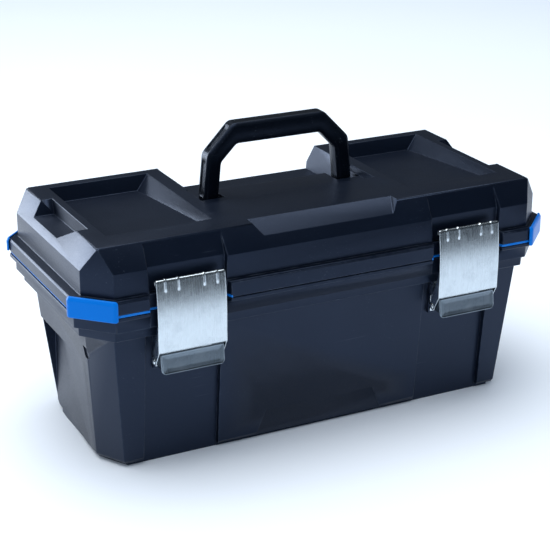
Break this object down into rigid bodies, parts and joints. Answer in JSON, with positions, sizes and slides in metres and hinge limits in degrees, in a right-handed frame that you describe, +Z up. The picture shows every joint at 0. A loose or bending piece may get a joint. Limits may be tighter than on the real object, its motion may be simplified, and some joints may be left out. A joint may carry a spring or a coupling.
{
  "type": "toolbox",
  "caption": "Plastic toolbox with a hinged lid, a folding carrying handle, draw latches, corner bumpers and a lift-out tray with its own handle.",
  "frame": {"origin": "on the ground under the middle of the closed box", "axes": "+X along the box to the right as seen from the latches, +Y to the hinges, +Z up"},
  "size_m": [0.515, 0.2433, 0.296],
  "materials": {
    "black_plastic": "finely textured blue-black polypropylene",
    "grip_plastic": "satin black polypropylene",
    "blue_plastic": "satin blue polypropylene",
    "zinc_steel": "bright zinc-plated sheet steel",
    "tray_plastic": "dark grey textured polypropylene"
  },
  "bodies": {
    "tub": {"body_shell": "black_plastic", "seal_band": "blue_plastic", "hinge_pin_left": "zinc_steel", "hinge_pin_right": "zinc_steel", "latch_left_bracket": "zinc_steel", "latch_left_pivot_pin": "zinc_steel", "latch_left_rivet_a": "zinc_steel", "latch_left_rivet_b": "zinc_steel", "latch_right_bracket": "zinc_steel", "latch_right_pivot_pin": "zinc_steel", "latch_right_rivet_a": "zinc_steel", "latch_right_rivet_b": "zinc_steel"},
    "lid": {"lid_shell": "black_plastic", "bumper_front_left": "blue_plastic", "bumper_front_right": "blue_plastic", "bumper_rear_left": "blue_plastic", "bumper_rear_right": "blue_plastic", "handle_pin_left": "zinc_steel", "handle_pin_right": "zinc_steel"},
    "handle": {"handle_bail": "grip_plastic"},
    "tray": {"tray_shell": "tray_plastic", "tray_divider_left": "blue_plastic", "tray_divider_right": "blue_plastic"},
    "tray_bail": {"tray_handle": "blue_plastic"},
    "latch_left_lever": {"latch_left_lever": "zinc_steel"},
    "latch_left_hook": {"latch_left_hook": "zinc_steel", "latch_left_hook_pin": "zinc_steel"},
    "latch_right_lever": {"latch_right_lever": "zinc_steel"},
    "latch_right_hook": {"latch_right_hook": "zinc_steel", "latch_right_hook_pin": "zinc_steel"}
  },
  "joints": [
    {"name": "lid_hinge", "type": "hinge", "parent": "tub", "child": "lid", "pos_m": [0, 0.1175, 0.169], "axis": [-1, 0, 0], "range_deg": [0, 100]},
    {"name": "handle_fold", "type": "hinge", "parent": "lid", "child": "handle", "pos_m": [0, 0.008, 0.2135], "axis": [-1, 0, 0], "range_deg": [0, 90]},
    {"name": "tray_lift", "type": "slide", "parent": "tub", "child": "tray", "axis": [0, 0, 1], "range_m": [0, 0.02]},
    {"name": "tray_handle_fold", "type": "hinge", "parent": "tray", "child": "tray_bail", "pos_m": [0, 0, 0.136], "axis": [1, 0, 0], "range_deg": [0, 180]},
    {"name": "latch_left_pull", "type": "hinge", "parent": "tub", "child": "latch_left_lever", "pos_m": [-0.1495, -0.11, 0.131], "axis": [-1, 0, 0], "range_deg": [0, 100]},
    {"name": "latch_left_swing", "type": "hinge", "parent": "latch_left_lever", "child": "latch_left_hook", "pos_m": [-0.1495, -0.109, 0.115], "axis": [-1, 0, 0], "range_deg": [-130, 0]},
    {"name": "latch_right_pull", "type": "hinge", "parent": "tub", "child": "latch_right_lever", "pos_m": [0.1495, -0.11, 0.131], "axis": [-1, 0, 0], "range_deg": [0, 100]},
    {"name": "latch_right_swing", "type": "hinge", "parent": "latch_right_lever", "child": "latch_right_hook", "pos_m": [0.1495, -0.109, 0.115], "axis": [-1, 0, 0], "range_deg": [-130, 0]}
  ],
  "couplings": [
    {"joint": "latch_left_swing", "follows": "latch_left_pull", "ratio": -1.3},
    {"joint": "latch_right_swing", "follows": "latch_right_pull", "ratio": -1.3}
  ]
}
